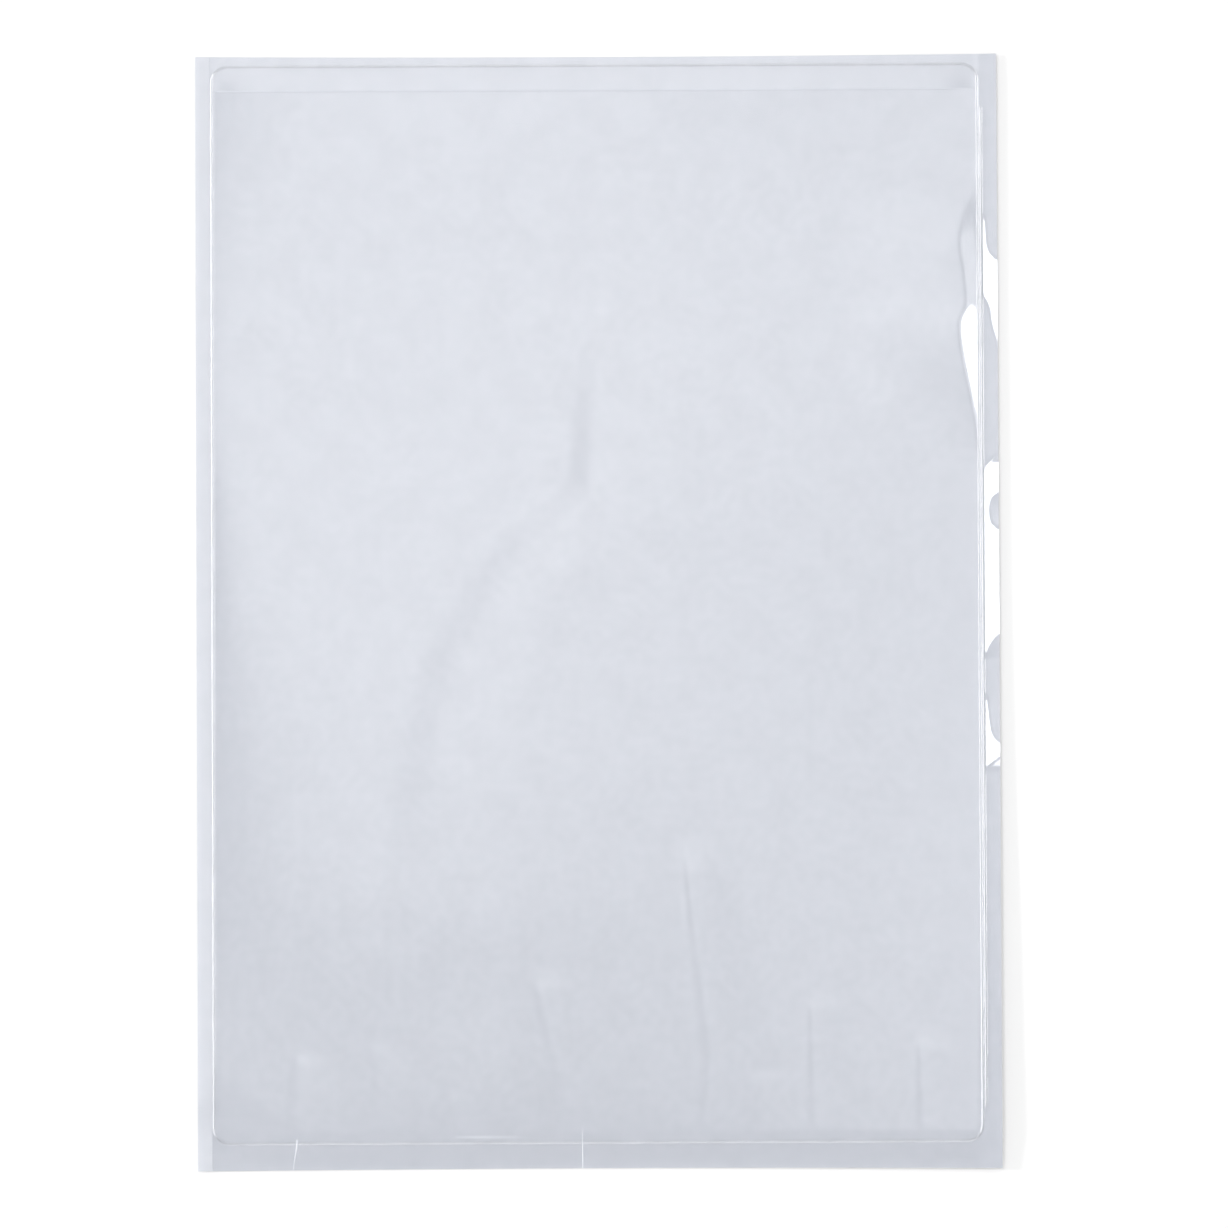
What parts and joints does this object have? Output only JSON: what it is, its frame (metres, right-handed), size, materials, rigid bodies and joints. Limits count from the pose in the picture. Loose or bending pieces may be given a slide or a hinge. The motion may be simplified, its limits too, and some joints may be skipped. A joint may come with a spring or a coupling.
{
  "type": "self-adhesive document pocket",
  "caption": "Clear flat film pocket for an A4 sheet, welded all round, with a slit mouth near one short edge and an adhesive back under a split peel-off paper liner.",
  "frame": {"origin": "middle of the outline, on the underside of the liner, which the pocket lies on", "axes": "+X to the right across the pocket, +Y along it towards the mouth, +Z out of the front film"},
  "size_m": [0.223, 0.31, 0.0008],
  "materials": {
    "clear_film": "gloss",
    "clear_adhesive": "satin",
    "liner_paper": "satin"
  },
  "bodies": {
    "backing": {"back_film": "clear_film", "adhesive_layer": "clear_adhesive", "left_seam": "clear_film", "right_seam": "clear_film", "bottom_seam": "clear_film", "top_band": "clear_film", "weld_bead": "clear_film"},
    "front_panel": {"front_panel": "clear_film"},
    "liner_left": {"liner_left": "liner_paper"},
    "liner_right": {"liner_right": "liner_paper"}
  },
  "joints": [
    {"name": "mouth_lift", "type": "hinge", "parent": "backing", "child": "front_panel", "pos_m": [0, -0.1474, 0.00068], "axis": [1, 0, 0], "range_deg": [0, 3], "stiffness_Nm_per_rad": 0.2},
    {"name": "liner_left_peel", "type": "hinge", "parent": "backing", "child": "liner_left", "pos_m": [-0.1115, 0, 0.00009], "axis": [0, 1, 0], "range_deg": [0, 180]},
    {"name": "liner_right_peel", "type": "hinge", "parent": "backing", "child": "liner_right", "pos_m": [0.1115, 0, 0.00009], "axis": [0, -1, 0], "range_deg": [0, 180]}
  ]
}
